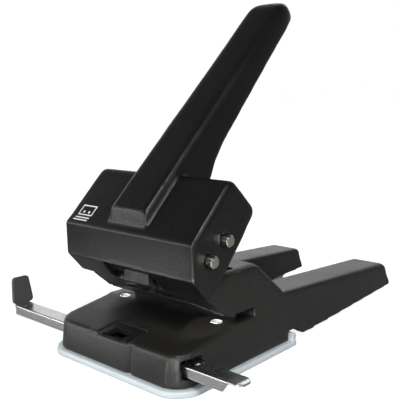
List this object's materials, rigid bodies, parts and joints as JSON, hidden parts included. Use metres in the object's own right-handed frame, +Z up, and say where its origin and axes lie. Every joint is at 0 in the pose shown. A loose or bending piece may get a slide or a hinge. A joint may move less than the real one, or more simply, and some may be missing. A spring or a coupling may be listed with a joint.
{
  "type": "hole punch",
  "caption": "Heavy-duty lever hole punch: die-cast base with legs, tilting hood and handle, press bar with punches, sliding ruler with stop, chip tray and latch.",
  "frame": {"origin": "on the table, midway between the two punch axes", "axes": "+X right along the guide ruler seen from the front, +Y back towards the rear of the legs, +Z up"},
  "size_m": [0.2005, 0.2554, 0.2274],
  "materials": {
    "casting_paint": "satin",
    "lever_paint": "satin",
    "tool_steel": "ground",
    "dark_steel": "satin",
    "zinc_steel": "zinc plated",
    "black_plastic": "matte",
    "spring_steel": "drawn",
    "nickel": "nickel plated",
    "foot_rubber": "matte",
    "tray_plastic": "translucent satin",
    "bright_steel": "bright zinc",
    "stop_paint": "satin",
    "latch_steel": "satin"
  },
  "bodies": {
    "base": {"base_casting": "casting_paint", "die_bushes": "tool_steel", "guide_bushes": "tool_steel", "paper_guide_plate": "dark_steel", "guide_plate_screws": "zinc_steel", "paper_stop": "zinc_steel", "window_bezel": "black_plastic", "ruler_guides": "black_plastic", "ruler_detent_spring": "spring_steel", "pivot_axle": "nickel", "pivot_clips": "spring_steel", "latch_screws": "zinc_steel", "rear_feet": "foot_rubber", "spring_left": "spring_steel", "spring_right": "spring_steel"},
    "tray": {"chip_tray": "tray_plastic"},
    "ruler": {"ruler_bar": "bright_steel", "ruler_stop": "stop_paint", "stop_rivets": "zinc_steel"},
    "lever": {"lever_casting": "lever_paint", "drive_axle": "nickel", "roller_clips": "spring_steel"},
    "rollers": {"drive_rollers": "tool_steel"},
    "press": {"press_bar": "dark_steel", "punch_left": "tool_steel", "punch_right": "tool_steel", "punch_clips": "spring_steel"},
    "latch": {"latch_slider": "latch_steel"}
  },
  "joints": [
    {"name": "lever_hinge", "type": "hinge", "parent": "base", "child": "lever", "pos_m": [0, -0.024, 0.0715], "axis": [-1, 0, 0], "range_deg": [0, 42], "stiffness_Nm_per_rad": 1.5, "springref_deg": -28.65},
    {"name": "press_slide", "type": "slide", "parent": "base", "child": "press", "axis": [0, 0, -1], "range_m": [0, 0.0114], "stiffness_N_per_m": 400, "springref_m": -0.01, "deforming": ["spring_left", "spring_right"]},
    {"name": "roller_spin", "type": "hinge", "parent": "lever", "child": "rollers", "pos_m": [0, -0.0105, 0.081], "axis": [1, 0, 0], "continuous": true},
    {"name": "ruler_slide", "type": "slide", "parent": "base", "child": "ruler", "axis": [1, 0, 0], "range_m": [-0.025, 0.045]},
    {"name": "tray_hinge", "type": "hinge", "parent": "base", "child": "tray", "pos_m": [0, 0.058, 0.0064], "axis": [1, 0, 0], "range_deg": [0, 60]},
    {"name": "latch_slide", "type": "slide", "parent": "base", "child": "latch", "axis": [0, 0.829, -0.5592], "range_m": [0, 0.003]}
  ],
  "couplings": [
    {"joint": "press_slide", "follows": "lever_hinge", "m_per_rad": 0.015552}
  ]
}
